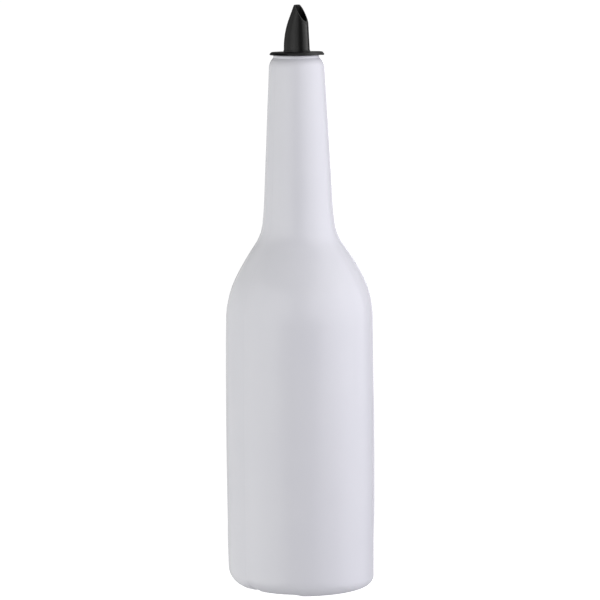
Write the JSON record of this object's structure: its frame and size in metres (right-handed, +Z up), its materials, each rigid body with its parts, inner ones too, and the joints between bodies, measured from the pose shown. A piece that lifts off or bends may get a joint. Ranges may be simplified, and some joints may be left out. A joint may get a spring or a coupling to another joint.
{
  "type": "flair bottle",
  "caption": "White moulded practice bottle with a round shoulder and long tapered neck, and a black beaked free-flow pourer that pulls out of the neck and turns.",
  "frame": {"origin": "centre of the standing ring, on the surface that the bottle stands on", "axes": "+Z up along the bottle's axis; the spout pours towards +X turned 18 degrees towards -Y"},
  "size_m": [0.0762, 0.0762, 0.2982],
  "materials": {
    "bottle_white_plastic": "satin white moulded plastic",
    "pourer_black_plastic": "satin black moulded plastic",
    "stopper_black_rubber": "matt black flexible rubber",
    "tube_grey_plastic": "thin translucent grey plastic"
  },
  "bodies": {
    "bottle": {"bottle_body": "bottle_white_plastic"},
    "stopper": {"pourer_cork": "stopper_black_rubber"},
    "spout": {"pourer_spout": "pourer_black_plastic", "breather_tube": "tube_grey_plastic"}
  },
  "joints": [
    {"name": "pourer_pull", "type": "slide", "parent": "bottle", "child": "stopper", "axis": [0, 0, 1], "range_m": [0, 0.066]},
    {"name": "spout_turn", "type": "hinge", "parent": "stopper", "child": "spout", "pos_m": [0, 0, 0.2726], "axis": [0, 0, 1], "continuous": true}
  ]
}
